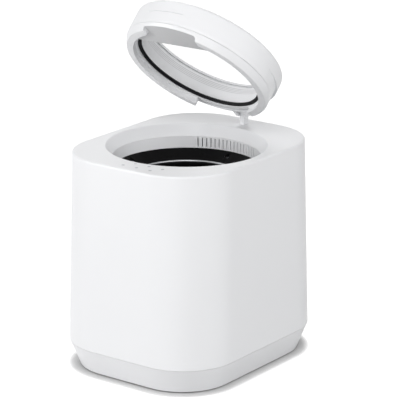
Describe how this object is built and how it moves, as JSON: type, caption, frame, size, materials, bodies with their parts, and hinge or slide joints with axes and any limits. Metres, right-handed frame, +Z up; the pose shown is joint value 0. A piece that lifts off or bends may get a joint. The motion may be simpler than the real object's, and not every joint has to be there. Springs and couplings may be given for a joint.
{
  "type": "electric food waste composter",
  "caption": "Countertop electric food waste composter with hinged windowed lid, lift-out bucket, geared grinding rotor, fan and rear filter drawer.",
  "frame": {"origin": "on the floor, under the middle of the body", "axes": "+Z up, -Y the front with the touch keys, +X to the right of someone standing behind it, lid hinge along X at the back"},
  "size_m": [0.27, 0.333, 0.5331],
  "materials": {
    "white_shell": "satin white moulding",
    "white_base": "satin white moulding",
    "white_lid": "satin white moulding",
    "white_inner": "satin off-white moulding",
    "grey_plastic": "moulded grey",
    "black_collar": "black non-stick coat",
    "black_bucket": "black non-stick coat",
    "dark_aluminium": "hard anodised",
    "steel": "machined",
    "blade_steel": "brushed",
    "bail_steel": "drawn wire",
    "brass": "turned",
    "black_plastic": "moulded black",
    "rubber_black": "moulded",
    "seal": "moulded",
    "window": "clear",
    "board_green": "solder mask",
    "components": "moulded",
    "key_lamp": "frosted",
    "carbon": "granular",
    "motor_can": "zinc plated"
  },
  "bodies": {
    "body": {"outer_shell": "white_shell", "base_tray": "white_base", "rubber_feet": "rubber_black", "base_screws": "steel", "power_inlet": "black_plastic", "throat_ring": "white_inner", "well_collar": "black_collar", "collar_screws": "steel", "bucket_well": "dark_aluminium", "heater_band": "motor_can", "idler_pin": "steel", "gearbox_pan": "grey_plastic", "gearbox_cover": "grey_plastic", "gearbox_screws": "steel", "shaft_tower": "grey_plastic", "shaft_bearing": "steel", "motor": "motor_can", "filter_housing": "white_inner", "air_hood": "grey_plastic", "fan_motor": "motor_can", "main_board": "board_green", "board_parts": "components", "board_screws": "steel", "key_board": "board_green", "key_lights": "key_lamp", "key_screws": "steel", "hinge_block": "white_lid", "hinge_pin": "steel", "hinge_screws": "steel"},
    "lid": {"lid_shell": "white_lid", "lid_ring": "white_inner", "lid_gasket": "seal", "lid_window": "window", "hinge_arms": "white_lid"},
    "bucket": {"bucket": "black_bucket", "bucket_bush": "brass", "wall_blades": "blade_steel"},
    "bail": {"bucket_bail": "bail_steel"},
    "rotor": {"grinding_rotor": "blade_steel", "grinding_arms": "blade_steel", "coupling_plug": "grey_plastic"},
    "output": {"output_shaft": "steel", "output_gear": "steel", "coupling_socket": "grey_plastic"},
    "idler": {"idler_gear": "steel"},
    "motor_rotor": {"motor_shaft": "steel", "motor_pinion": "brass"},
    "fan": {"fan_rotor": "black_plastic"},
    "filter": {"filter_drawer": "white_shell", "carbon_block": "carbon"}
  },
  "joints": [
    {"name": "lid_hinge", "type": "hinge", "parent": "body", "child": "lid", "pos_m": [0, 0.1336, 0.3384], "axis": [-1, 0, 0], "range_deg": [-45, 30]},
    {"name": "bucket_lift", "type": "slide", "parent": "body", "child": "bucket", "axis": [0, 0, 1], "range_m": [0, 0.12]},
    {"name": "bail_swing", "type": "hinge", "parent": "bucket", "child": "bail", "pos_m": [0, -0.0072, 0.2722], "axis": [1, 0, 0], "range_deg": [0, 180]},
    {"name": "rotor_spin", "type": "hinge", "parent": "bucket", "child": "rotor", "pos_m": [0, -0.0072, 0.12], "axis": [0, 0, 1], "continuous": true},
    {"name": "output_spin", "type": "hinge", "parent": "body", "child": "output", "pos_m": [0, -0.0072, 0.06], "axis": [0, 0, 1], "continuous": true},
    {"name": "idler_spin", "type": "hinge", "parent": "body", "child": "idler", "pos_m": [0, 0.0568, 0.055], "axis": [0, 0, 1], "continuous": true},
    {"name": "motor_spin", "type": "hinge", "parent": "body", "child": "motor_rotor", "pos_m": [0, 0.1048, 0.07], "axis": [0, 0, 1], "continuous": true},
    {"name": "fan_spin", "type": "hinge", "parent": "body", "child": "fan", "pos_m": [0, 0.128, 0.17], "axis": [0, 0, 1], "continuous": true},
    {"name": "filter_slide", "type": "slide", "parent": "body", "child": "filter", "axis": [0, 1, 0], "range_m": [0, 0.06]}
  ],
  "couplings": [
    {"joint": "rotor_spin", "follows": "output_spin", "ratio": 1},
    {"joint": "idler_spin", "follows": "output_spin", "ratio": -3.5714},
    {"joint": "motor_spin", "follows": "output_spin", "ratio": 10.714}
  ]
}
